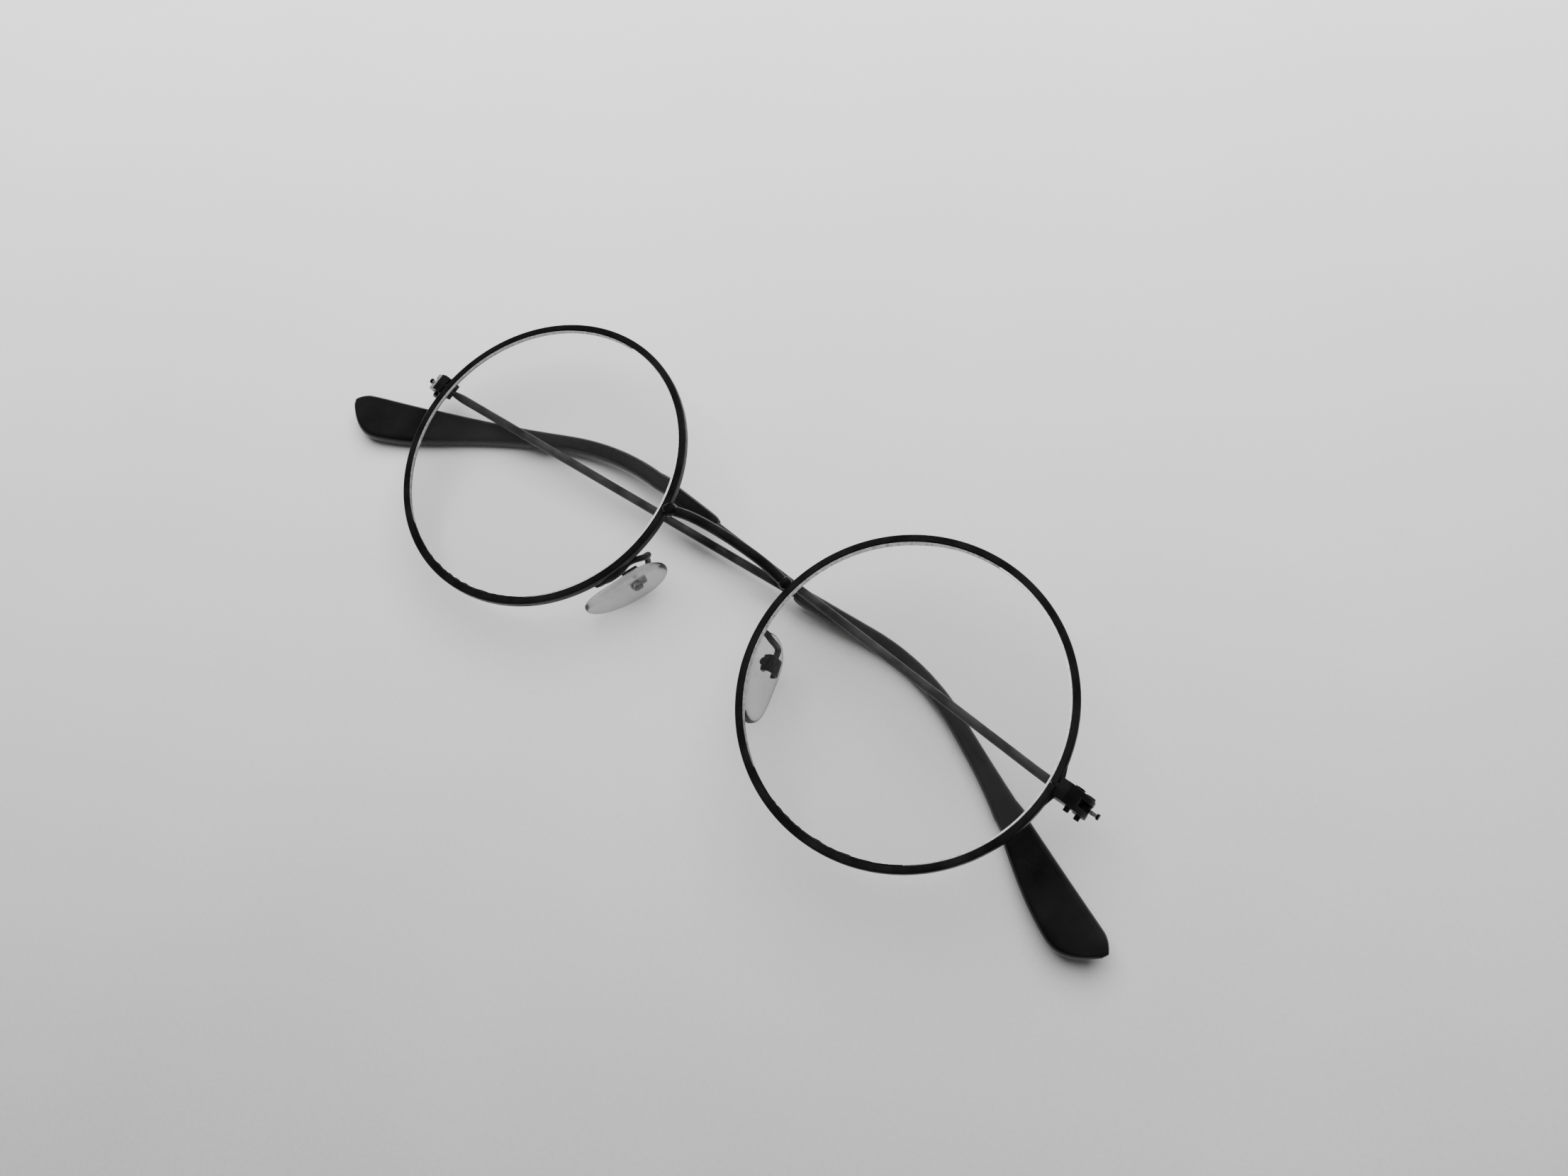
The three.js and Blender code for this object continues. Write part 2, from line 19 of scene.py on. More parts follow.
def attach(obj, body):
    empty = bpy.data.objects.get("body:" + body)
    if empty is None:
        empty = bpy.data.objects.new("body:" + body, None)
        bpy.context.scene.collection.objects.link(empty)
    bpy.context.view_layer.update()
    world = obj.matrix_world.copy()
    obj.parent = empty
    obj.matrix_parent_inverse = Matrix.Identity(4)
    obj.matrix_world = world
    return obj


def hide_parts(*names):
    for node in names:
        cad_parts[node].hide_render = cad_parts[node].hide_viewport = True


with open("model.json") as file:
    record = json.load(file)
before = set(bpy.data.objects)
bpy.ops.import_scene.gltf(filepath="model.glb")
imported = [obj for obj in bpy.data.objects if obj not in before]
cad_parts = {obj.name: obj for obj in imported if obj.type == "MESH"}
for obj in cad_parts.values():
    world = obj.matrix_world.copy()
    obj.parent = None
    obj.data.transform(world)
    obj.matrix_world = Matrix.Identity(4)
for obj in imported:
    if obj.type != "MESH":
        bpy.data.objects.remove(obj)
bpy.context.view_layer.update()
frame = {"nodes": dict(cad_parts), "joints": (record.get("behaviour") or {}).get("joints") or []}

MM = 0.001
DEG = math.pi / 180

# ---------- sizes, in millimetres, as in the CAD ----------

RIM_CENTRE_X = 34.66
RIM_INNER_R = 22.5
RIM_OUTER_R = 23.55
RIM_DEPTH = 1.5
GROOVE_DEPTH = 0.55
GROOVE_HALF = 0.34
WRAP = 1.76 * DEG
RIM_SPLIT = 0.25
LENS_GAP = 0.07
LENS_FRONT_R = 95
LENS_BACK_R = 92
LENS_EDGE_HALF = 0.6
LENS_RINGS = (6, 12, 17, 20.5)  # radii of the rings on each face of a lens
LENS_RIM_LIP = 0.12             # from the edge of a face down to its ground edge

BRIDGE_END = Vector((11.25, 4.3, -1.05))
BRIDGE_TOP = Vector((0, 5.2, 0.75))
BRIDGE_R = 0.78
SHOULDER_SHARE = 0.62           # how far out the bridge's shoulder is, as a share of its end
SHOULDER_LIFT = Vector((0, 0.22, 0.15))
BRIDGE_STEPS = 96

BAR_MID = 1.575
HINGE_X = 61.8
HINGE_Z = -6.2

WIRE_R = 0.68
WIRE_START = 2.7
WIRE_END = 72
WIRE_TAPER = ((0, 0.38), (0.15, 0.45), (1.1, 0.58), (2.2, WIRE_R))   # distance and radius
WIRE_FULL_FROM = 6
WIRE_RINGS = 34
SLEEVE_START = 70.4
BEND_START = 83.4
BEND_END = 102.4
CURL_ANGLE = 17 * DEG
TEMPLE_LENGTH = 139.95
SLEEVE_HALF = 1.33
SLEEVE_THICKNESS = 2.65
TOP_FLARE_START = 100
BELLY_START = 104
BELLY_AT = 131.9
PADDLE_TOP = 3.6
PADDLE_BELLY = 3.92
PADDLE_THICKNESS = 2.8
PADDLE_EDGE = 1.15
END_TAPER_START = 134
END_OPEN = 0.1
NOSE_DROP = 0.95
NOSE_RISE = 5.45
SLEEVE_EDGE = 1.28
MOUTH_LIP = 0.38
MOUTH_FADE = 0.6
THICKEN_START = 112
THICKEN_END = 130
FLATTEN_START = 96
FLATTEN_END = 118
NOSE_START = 137.2
EDGE_SHARE = 0.48               # most that an edge radius may be of the thickness or height
# Rings along the sleeve: at its mouth, along its length every millimetre, and round its end.
SLEEVE_MOUTH = (70.4, 70.55, 70.7, 70.9, 71.2, 71.6, 72.5, 75, 79)
SLEEVE_MIDDLE_FROM = 84.5
SLEEVE_END_RINGS = 32

PAD_LEAN = 27 * DEG
PAD_HALF_LENGTH = 7.0
PAD_HALF_WIDTH = 3.8
PAD_THICKNESS = 1.6
PAD_CROWN = 0.72                # bow of the pad along its length
PAD_SINK = 0.27
PAD_DISH = 0.35                 # how far its long edges drop
PAD_UPPER_END = (2.6, 0.5)      # powers of the curve that rounds each end of the pad
PAD_LOWER_END = (3, 0.45)
PAD_THINNING = 0.85             # how its thickness follows that curve
PAD_NARROWING = 0.17            # from the middle to either end, wider at the top
PAD_END_HALF = 0.12
PAD_END_THICK = 0.1
PAD_SQUARENESS = 0.8            # below 1 the pad's section is squarer than an oval
PAD_RINGS = 61
PAD_SIDES = 56
PAD_BOX_U = -1.8
PAD_BOX_N = -1.25
PAD_BOX_LENGTH = 2.6
PAD_BOX_WIDTH = 2.9
PAD_BOX_BELOW = 1.2
PAD_BOX_ABOVE = 0.45
PAD_BOX_WALL = 0.4
PAD_BOX_BEND = 0.62
PAD_BOX_BEND_STEPS = 8
PAD_BOX_CREST = 0.6             # height of the strip's rounded edge over half its thickness
# Rings along the box: where they are, as a share of its length, and how far they are drawn in.
PAD_BOX_ENDS = ((-0.5, 0.14), (-0.48, 0.06), (-0.44, 0.0), (0.44, 0.0), (0.48, 0.06), (0.5, 0.14))
PAD_LOBE_R = 0.72
PAD_LOBE_HALF = 0.85
PAD_LOBE_SWELL = (0.82, 0.95, 1, 1, 1, 1, 1, 0.95, 0.82)
PAD_STEM_FROM = PAD_BOX_N + 0.3
PAD_STEM_TO = 0.2
PAD_STEM_R = (0.55, 0.55, 0.56, 0.62, 0.72, 0.8)
ARM_R = 0.48
ARM_FOOT_R = 23.1
ARM_FOOT_ANGLES = (209, 201, 193)
ARM_FOOT_GAP = 0.09             # from the back of the rim
ARM_LOOP = ((11.2, -3.5, -3.2), (11.5, -2.7, -4.4), (12.2, -2.9, -5.9))
ARM_LANDING = 1.3               # straight stretch before the pad box
ARM_BOX_GAP = 0.03
ARM_BOX_DROP = 0.55
ARM_STEPS = 120
ARM_TAPER = 0.45                # the foot starts at this share of the wire's radius
ARM_TAPER_STEPS = 5
PIN_HEAD_FROM = 1.95            # distance of the stop pin's head from the hinge axis

SIDES = {
    "left": {"sign": -1, "fold": 5.8 * DEG, "rise": 3.35 * DEG, "bend": 30 * DEG,
             "pad_at": Vector((13.2, -8.5, -8.7)), "splay": -3 * DEG},
    "right": {"sign": 1, "fold": 3.3 * DEG, "rise": 4.74 * DEG, "bend": 29 * DEG,
              "pad_at": Vector((13.0, -8.1, -8.9)), "splay": 24 * DEG},
}

# ---------- the ground edge of the lenses ----------

# The ground edge runs inwards from the groove by a width that changes around the lens.
# Angles are in degrees, counter-clockwise from +X.
LENS_STEPS = 288
BAND_ANGLES = (0, 88, 120, 205, 240, 304, 322, 360)
BAND_WIDTHS = (0.22, 0.22, 0.6, 0.52, 0.1, 0.05, 0.2, 0.22)
# The ground edge is one frosted finish given three greys by angle, painted light and shade: pale
# where the light falls, grey in half shade, dark in the deepest shade.
HALF_SHADE_ANGLES = (88, 238)
DEEP_SHADE_ANGLES = (238, 304)
BACK_BAND = 0.3                 # width of the ground edge on the back face
UNEVEN_AT = 271                 # the inner line of the band is most uneven here
UNEVEN_SPREAD = 33
UNEVEN_WIDTH = 0.12
DRIFT_KEPT = 0.55               # share of the unevenness kept from one step to the next
DRIFT_STEP = 0.12
DRIFT_EVERYWHERE = 0.1          # share of the drift where the band is even
LENS_SEEDS = {"left": 7, "right": 11}
# Material slots of a lens: clear glass, then the ground edge painted lit, in half shade and in
# deep shade.
CLEAR, PALE, GREY, DARK = range(4)

# ---------- solder ----------

SOLDER_STEPS = 14
SOLDER_SIDES = 20
BRIDGE_SOLDER = {
    "left": ([(-9.7, 4.55, -0.25), (-10.5, 4.3, -0.2), (-11.3, 4.0, -0.35), (-12.0, 3.7, -0.6)],
             [0.3, 0.95, 1.05, 0.8, 0.2]),
    "right": ([(9.9, 4.62, -0.55), (10.7, 4.4, -0.75), (11.7, 4.1, -0.85)],
              [0.35, 0.95, 1.0, 0.4]),
}
# Beads along the outside of the rim above and below the endpiece: angles on the rim.
ENDPIECE_BEADS = {"upper": (11.5, 9.2, 7.2, 6.2), "lower": (-3.6, -1.6, 0.2, 1.2)}
BEAD_RADII = [0.1, 0.3, 0.5, 0.6]
BEAD_RISE = -0.08               # from the outside of the rim
BEAD_Z = -0.75
# One bead across the rim and the endpiece.
SEAM_ANGLE = 3.9 * DEG
SEAM_Z = -0.52
SEAM_AT = (22.75, 23.2, 23.8, 24.3)
SEAM_RADII = [0.3, 0.52, 0.55, 0.2]
# One bead along the foot of each pad arm.
FOOT_BEAD_AWAY = Vector((-0.3, 0, 0.42))
FOOT_BEAD_INSET = 0.15
FOOT_BEAD_RADII = [0.25, 0.62, 0.62, 0.25]

# ---------- edges ----------

SHARP_ANGLE = 35 * DEG
POLISHED_SHARP = 30 * DEG
BEVEL_FROM = 32 * DEG           # edges of a CAD node sharper than this are rounded
FLAT_ANGLE = 1 * DEG            # faces of a CAD node closer than this are joined
WELD_DISTANCE = 0.0008 * MM
MIRROR = Vector((-1, 1, 1))

# ---------- where the front frame lies in the world ----------

joints = {joint["name"]: joint for joint in frame["joints"]}
left_hinge = Vector(joints["left_temple_hinge"]["pos_m"])
right_hinge = Vector(joints["right_temple_hinge"]["pos_m"])
across = (right_hinge - left_hinge).normalized()
up = Vector(joints["left_temple_hinge"]["axis"]).normalized()
out = across.cross(up).normalized()
origin = (left_hinge + right_hinge) / 2 - up * BAR_MID * MM - out * HINGE_Z * MM
FRONT_TURN = Matrix((across, up, out)).transposed()
FRONT = Matrix.Translation(origin) @ FRONT_TURN.to_4x4() @ Matrix.Scale(MM, 4)


# ---------- mesh helpers ----------

def centripetal(points, steps):
    """A smooth centripetal Catmull-Rom curve through the points, as steps + 1 points."""
    points = [Vector(p) for p in points]
    ends = [2 * points[0] - points[1]] + points + [2 * points[-1] - points[-2]]
    spans = len(points) - 1
    curve = []
    for k in range(steps + 1):
        place = spans * k / steps
        i = min(int(place), spans - 1)
        t = place - i
        p0, p1, p2, p3 = ends[i:i + 4]
        d0, d1, d2 = ((b - a).length ** 0.5 for a, b in ((p0, p1), (p1, p2), (p2, p3)))
        m1 = ((p1 - p0) / d0 - (p2 - p0) / (d0 + d1) + (p2 - p1) / d1) * d1
        m2 = ((p2 - p1) / d1 - (p3 - p1) / (d1 + d2) + (p3 - p2) / d2) * d1
        c2 = -3 * p1 + 3 * p2 - 2 * m1 - m2
        c3 = 2 * p1 - 2 * p2 + m1 + m2
        curve.append(p1 + m1 * t + c2 * t * t + c3 * t ** 3)
    return curve


def loft(rings):
    """Vertices and faces of a skin through rings of equal point counts, closed at both ends."""
    sides = len(rings[0])
    verts = [Vector(p) for ring in rings for p in ring]
    last = (len(rings) - 1) * sides
    faces = []
    for here in range(0, last, sides):
        there = here + sides
        for i in range(sides):
            after = (i + 1) % sides
            faces.append((here + i, here + after, there + after, there + i))
    faces.append(tuple(reversed(range(sides))))
    faces.append(tuple(range(last, last + sides)))
    return verts, faces


def tube_rings(path, radii, sides):
    """Round rings along a path, each with its own radius, turned without twist."""
    rings = []
    normal = None
    for i, point in enumerate(path):
        ahead = (path[min(i + 1, len(path) - 1)] - path[max(i - 1, 0)]).normalized()
        if normal is None:
            normal = ahead.orthogonal().normalized()
        normal = (normal - ahead * normal.dot(ahead)).normalized()
        side = ahead.cross(normal)
        radius = float(radii[i])
        rings.append([
            point + radius * (math.cos(a) * normal + math.sin(a) * side)
            for a in (2 * math.pi * k / sides for k in range(sides))
        ])
    return rings


def rounded(corners, steps=5):
    """A closed outline of (a, b, radius) corners, each rounded in a number of steps."""
    outline = []
    count = len(corners)
    for i, (x, y, radius) in enumerate(corners):
        here = Vector((x, y))
        before = Vector(corners[i - 1][:2])
        after = Vector(corners[(i + 1) % count][:2])
        to_before = (before - here).normalized()
        to_after = (after - here).normalized()
        half = to_before.angle(to_after) / 2
        reach = radius / math.tan(half)
        middle = here + (to_before + to_after).normalized() * (radius / math.sin(half))
        start = here + to_before * reach - middle
        end = here + to_after * reach - middle
        turn = start.angle_signed(end)
        for k in range(steps + 1):
            outline.append(middle + Matrix.Rotation(-turn * k / steps, 2) @ start)
    return outline


def build(name, verts, faces, body, materials, mirror=False, sharp=SHARP_ANGLE,
          replace=()):
    """Makes one piece from front-frame millimetres, in the world's metres, riding on a body."""
    bm = bmesh.new()
    flip = MIRROR if mirror else Vector((1, 1, 1))
    made = [bm.verts.new(FRONT @ (Vector(v) * flip)) for v in verts]
    for face in faces:
        bm.faces.new([made[i] for i in face])
    bmesh.ops.recalc_face_normals(bm, faces=bm.faces)
    return adopt(name, bm, body, materials, sharp, replace)


def adopt(name, bm, body, materials, sharp, replace):
    """Turns a bmesh into a smooth-shaded piece that rides on a body."""
    mesh = bpy.data.meshes.new(name)
    bm.to_mesh(mesh)
    bm.free()
    for polygon in mesh.polygons:
        polygon.use_smooth = True
    mesh.set_sharp_from_angle(angle=sharp)
    piece = bpy.data.objects.new(name, mesh)
    bpy.context.scene.collection.objects.link(piece)
    for item in materials:
        mesh.materials.append(item)
    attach(piece, body)
    if replace:
        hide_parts(*replace)
    return piece


def polished(node, body, look, bevel):
    """A copy of a CAD node with its sharp edges rounded, shown in its place."""
    bm = bmesh.new()
    bm.from_mesh(frame["nodes"][node].data)
    bmesh.ops.remove_doubles(bm, verts=bm.verts, dist=WELD_DISTANCE)
    bmesh.ops.dissolve_limit(bm, angle_limit=FLAT_ANGLE, verts=bm.verts, edges=bm.edges)
    bmesh.ops.recalc_face_normals(bm, faces=bm.faces)
    edges = [e for e in bm.edges if len(e.link_faces) == 2 and e.calc_face_angle(0) > BEVEL_FROM]
    bmesh.ops.bevel(bm, geom=edges, offset=bevel * MM, segments=2, profile=0.5,
                    affect="EDGES", clamp_overlap=True)
    return adopt(node + "_finished", bm, body, [look], POLISHED_SHARP, [node])


# ---------- materials ----------

NOISE_ROUGHNESS = 0.55
# Sockets of a Mix node that mixes colours.
MIX_FACTOR = 0
MIX_FIRST = 6
MIX_SECOND = 7
MIX_RESULT = 2


def set_range(node, low, high, to_low, to_high):
    """Sets the four limits of a Map Range node."""
    limits = {"From Min": low, "From Max": high, "To Min": to_low, "To Max": to_high}
    for key, number in limits.items():
        node.inputs[key].default_value = number


class Nodes:
    """A node material under construction. Scales are in cycles per metre."""

    def __init__(self, name):
        self.material = bpy.data.materials.new(name)
        self.material.use_nodes = True
        self.tree = self.material.node_tree
        self.tree.nodes.clear()
        self.output = self.add("ShaderNodeOutputMaterial")
        self.shader = self.add("ShaderNodeBsdfPrincipled")
        self.link(self.shader.outputs[0], self.output.inputs["Surface"])
        self.place = self.add("ShaderNodeTexCoord").outputs["Object"]

    def add(self, kind, **settings):
        node = self.tree.nodes.new(kind)
        for key, value in settings.items():
            setattr(node, key, value)
        return node

    def link(self, source, target):
        self.tree.links.new(source, target)

    def stretched(self, scale):
        node = self.add("ShaderNodeMapping")
        node.inputs["Scale"].default_value = scale
        self.link(self.place, node.inputs["Vector"])
        return node.outputs[0]

    def noise(self, scale, detail, place=None):
        node = self.add("ShaderNodeTexNoise")
        node.inputs["Scale"].default_value = scale
        node.inputs["Detail"].default_value = detail
        node.inputs["Roughness"].default_value = NOISE_ROUGHNESS
        self.link(place or self.place, node.inputs["Vector"])
        return node.outputs["Fac"]

    def span(self, value, low, high, to_low, to_high):
        node = self.add("ShaderNodeMapRange")
        set_range(node, low, high, to_low, to_high)
        self.link(value, node.inputs["Value"])
        return node.outputs["Result"]

    def mask(self, value, low, high):
        """0 below low, 1 above high."""
        return self.span(value, low, high, 0.0, 1.0)

    def math(self, operation, a, b):
        node = self.add("ShaderNodeMath", operation=operation)
        for socket, value in zip(node.inputs, (a, b)):
            if isinstance(value, (int, float)):
                socket.default_value = value
            else:
                self.link(value, socket)
        return node.outputs[0]

    def specks(self, scale, share, radius):
        """1 in small spots in a share of the cells, 0 elsewhere."""
        cell = self.add("ShaderNodeTexVoronoi")
        cell.inputs["Scale"].default_value = scale
        self.link(self.place, cell.inputs["Vector"])
        near = self.mask(cell.outputs["Distance"], radius, radius / 2)
        pick = self.mask(cell.outputs["Color"], 0.99 - share, 1 - share)
        return self.math("MULTIPLY", near, pick)

    def bump(self, height, strength, distance_mm):
        node = self.add("ShaderNodeBump")
        node.inputs["Strength"].default_value = strength
        node.inputs["Distance"].default_value = distance_mm * MM
        self.link(height, node.inputs["Height"])
        self.link(node.outputs[0], self.shader.inputs["Normal"])

    def coloured(self, factor, first, second):
        """Lets the base colour run from one grey to another."""
        node = self.add("ShaderNodeMix", data_type="RGBA")
        node.inputs[MIX_FIRST].default_value = grey(first)
        node.inputs[MIX_SECOND].default_value = grey(second)
        self.link(factor, node.inputs[MIX_FACTOR])
        self.link(node.outputs[MIX_RESULT], self.shader.inputs["Base Color"])

    def roughened(self, value, low, high, smooth, rough):
        """Lets the roughness follow a value."""
        self.link(self.span(value, low, high, smooth, rough), self.shader.inputs["Roughness"])

    def set(self, **values):
        for key, value in values.items():
            self.shader.inputs[key.replace("_", " ")].default_value = value
        return self


def grey(value):
    return (value, value, value, 1)


def enamel(name, base, worn, wear_share, roughness, gloss):
    """Black enamel over wire: orange peel, uneven gloss and small worn spots."""
    n = Nodes(name).set(Specular_IOR_Level=gloss)
    patch = n.mask(n.noise(260, detail=4), 0.35, 0.72)
    wear = n.specks(520, wear_share, 0.22)
    tone = n.math("MAXIMUM", n.math("MULTIPLY", patch, 0.3), wear)
    n.coloured(tone, base, worn)
    n.roughened(n.noise(700, detail=3), 0.3, 0.7, roughness - 0.09, roughness + 0.12)
    n.bump(n.noise(2600, detail=2), strength=0.12, distance_mm=0.03)
    return n.material


def plated(name, base, bright, roughness):
    """Dark plated metal with turning marks and rubbed high spots."""
    n = Nodes(name).set(Metallic=0.9)
    rubbed = n.mask(n.noise(1500, detail=3), 0.5, 0.75)
    n.coloured(rubbed, base, bright)
    n.roughened(n.noise(2100, detail=2), 0.3, 0.7, roughness - 0.1, roughness + 0.12)
    n.bump(n.noise(5200, detail=2), strength=0.2, distance_mm=0.02)
    return n.material


def tip_plastic():
    """Glossy black sleeve plastic: faint ripples, hairline scratches and specks of dust."""
    n = Nodes("tip_plastic").set(Specular_IOR_Level=0.15)
    cloud = n.mask(n.noise(90, detail=4), 0.35, 0.7)
    dust = n.specks(420, 0.1, 0.1)
    tone = n.math("MAXIMUM", n.math("MULTIPLY", cloud, 0.35), n.math("MULTIPLY", dust, 0.9))
    n.coloured(tone, 0.003, 0.02)
    scratches = n.noise(1, detail=2, place=n.stretched((240, 3600, 3600)))
    n.roughened(scratches, 0.45, 0.8, 0.14, 0.34)
    ripple = n.math("ADD", n.noise(160, detail=1), n.math("MULTIPLY", scratches, 0.12))
    n.bump(ripple, strength=0.22, distance_mm=0.12)
    return n.material


def clear(name, colour, roughness, ior, cloud, shade, rim_shade=0.0):
    """Clear plastic, cloudy in places. rim_shade paints shade on it where it's seen edge on.

    Lamp light goes straight through it, dimmed to shade, to what is behind it.
    """
    n = Nodes(name).set(Transmission_Weight=1.0, IOR=ior)
    tone = n.span(n.noise(120, detail=4), 0.4, 0.7, 0.0, cloud)
    if rim_shade:
        # Painted shade: the colour darkens where the surface is seen edge on.
        slant = n.add("ShaderNodeLayerWeight")
        slant.inputs["Blend"].default_value = 0.3
        edge_on = n.span(slant.outputs["Facing"], 0.08, 0.6, 0.0, rim_shade)
        tone = n.math("ADD", tone, edge_on)
    n.coloured(tone, colour, 0.1)
    n.roughened(n.noise(420, detail=3), 0.35, 0.75, roughness, roughness + 0.07)
    n.bump(n.noise(300, detail=2), strength=0.06, distance_mm=0.03)
    through = n.add("ShaderNodeBsdfTransparent")
    through.inputs["Color"].default_value = grey(shade)
    path = n.add("ShaderNodeLightPath")
    surface = n.shader.outputs[0]
    for kind in ("Is Diffuse Ray", "Is Shadow Ray"):
        choose = n.add("ShaderNodeMixShader")
        n.link(path.outputs[kind], choose.inputs[0])
        n.link(surface, choose.inputs[1])
        n.link(through.outputs[0], choose.inputs[2])
        surface = choose.outputs[0]
    n.link(surface, n.output.inputs["Surface"])
    return n.material


def ground_edge(name, dull, bright):
    """The frosted, ground edge of a lens; its copies carry painted light and painted shade of one
    finish.
    """
    n = Nodes(name).set(Specular_IOR_Level=0.25)
    grain = n.noise(2400, detail=3)
    n.coloured(n.mask(grain, 0.3, 0.7), dull, bright)
    n.roughened(grain, 0.3, 0.7, 0.45, 0.7)
    n.bump(grain, strength=0.4, distance_mm=0.03)
    return n.material


def paper(towards_light):
    """Pale paper with painted light: lighter on the side of the room that the light comes from.
    """
    n = Nodes("paper").set(Specular_IOR_Level=0.2)
    broad = n.math("MULTIPLY", n.noise(14, detail=5), 0.35)
    fine = n.math("MULTIPLY", n.noise(1500, detail=2), 0.2)
    mottle = n.math("ADD", broad, fine)
    slope = n.add("ShaderNodeVectorMath", operation="DOT_PRODUCT")
    slope.inputs[1].default_value = towards_light
    n.link(n.place, slope.inputs[0])
    # Painted light: the paper's colour runs lighter towards the light and darker away from it.
    lit = n.span(slope.outputs["Value"], -0.13, 0.13, -0.275, 0.725)
    n.coloured(n.math("ADD", lit, n.math("MULTIPLY", mottle, 0.5)), 0.35, 0.92)
    n.roughened(n.noise(900, detail=2), 0.3, 0.7, 0.75, 0.95)
    n.bump(n.noise(1900, detail=4), strength=0.25, distance_mm=0.04)
    return n.material


black = enamel("black_enamel", base=0.0022, worn=0.02, wear_share=0.05,
               roughness=0.34, gloss=0.17)
wire_black = enamel("wire_enamel", base=0.004, worn=0.1, wear_share=0.06,
                    roughness=0.38, gloss=0.2)
solder_black = enamel("solder_enamel", base=0.001, worn=0.02, wear_share=0.02,
                      roughness=0.22, gloss=0.12)
dark_metal = plated("dark_metal", base=0.015, bright=0.05, roughness=0.36)
# Bright metal for the stop pin's neck: a painted highlight.
painted_highlight_metal = plated("painted_highlight_metal", base=0.32, bright=0.6, roughness=0.3)
plastic = tip_plastic()
lens_glass = clear("lens_glass", colour=0.99, roughness=0.0, ior=1.5, cloud=0.01, shade=0.96)
# One clear pad plastic in two copies: the left pad, seen edge on, gets a darker colour and more
# cloud as painted shade; the right pad is the lighter copy.
pad_lit_and_shaded_looks = {
    "left": clear("pad_clear_left_shaded", colour=0.7, roughness=0.06, ior=1.42, cloud=0.25,
                  shade=0.84, rim_shade=1.2),
    "right": clear("pad_clear_right_lit", colour=0.93, roughness=0.05, ior=1.42, cloud=0.15,
                   shade=0.88, rim_shade=1.4),
}
# Lit and shaded copies of one ground edge: painted light, painted half shade and painted deep
# shade.
edge_painted_lit = ground_edge("ground_edge_painted_lit", dull=0.42, bright=0.7)
edge_painted_half_shade = ground_edge("ground_edge_painted_half_shade", dull=0.09, bright=0.22)
edge_painted_deep_shade = ground_edge("ground_edge_painted_deep_shade", dull=0.004, bright=0.03)


# ---------- rims and lenses ----------

RIM_STEPS = 288
OUTER_ROUND = 0.34              # rounding of the rim's outer and inner edges, and of its groove
INNER_ROUND = 0.1
GROOVE_ROUND = 0.08
LIP_ROUND = 0.03


def wrapped(point, angle):
    """A (radius, z) point of a ring, turned about the ring's axis and set into the front."""
    radius, z = point
    spot = Vector((RIM_CENTRE_X + radius * math.cos(angle), radius * math.sin(angle), z))
    return Matrix.Rotation(WRAP, 3, "Y") @ spot


def rim(side, sign):
    """A ring of wire with a groove for the lens, sawn through behind the endpiece."""
    back = -RIM_DEPTH
    middle = back / 2
    profile = rounded([
        (RIM_INNER_R, 0, INNER_ROUND),
        (RIM_INNER_R, middle + GROOVE_HALF, LIP_ROUND),
        (RIM_INNER_R + GROOVE_DEPTH, middle, GROOVE_ROUND),
        (RIM_INNER_R, middle - GROOVE_HALF, LIP_ROUND),
        (RIM_INNER_R, back, INNER_ROUND),
        (RIM_OUTER_R, back, OUTER_ROUND),
        (RIM_OUTER_R, 0, OUTER_ROUND),
    ])
    cut_angle = math.asin(BAR_MID / RIM_OUTER_R)
    cut_half = RIM_SPLIT / 2 / RIM_OUTER_R
    first = cut_angle + cut_half
    last = cut_angle - cut_half + 2 * math.pi
    angles = [first + (last - first) * k / RIM_STEPS for k in range(RIM_STEPS + 1)]
    verts, faces = loft([[wrapped(p, angle) for p in profile] for angle in angles])
    build(f"{side}_rim_ring", verts, faces, "front", [black],
          mirror=sign < 0, replace=[f"{side}_rim"])


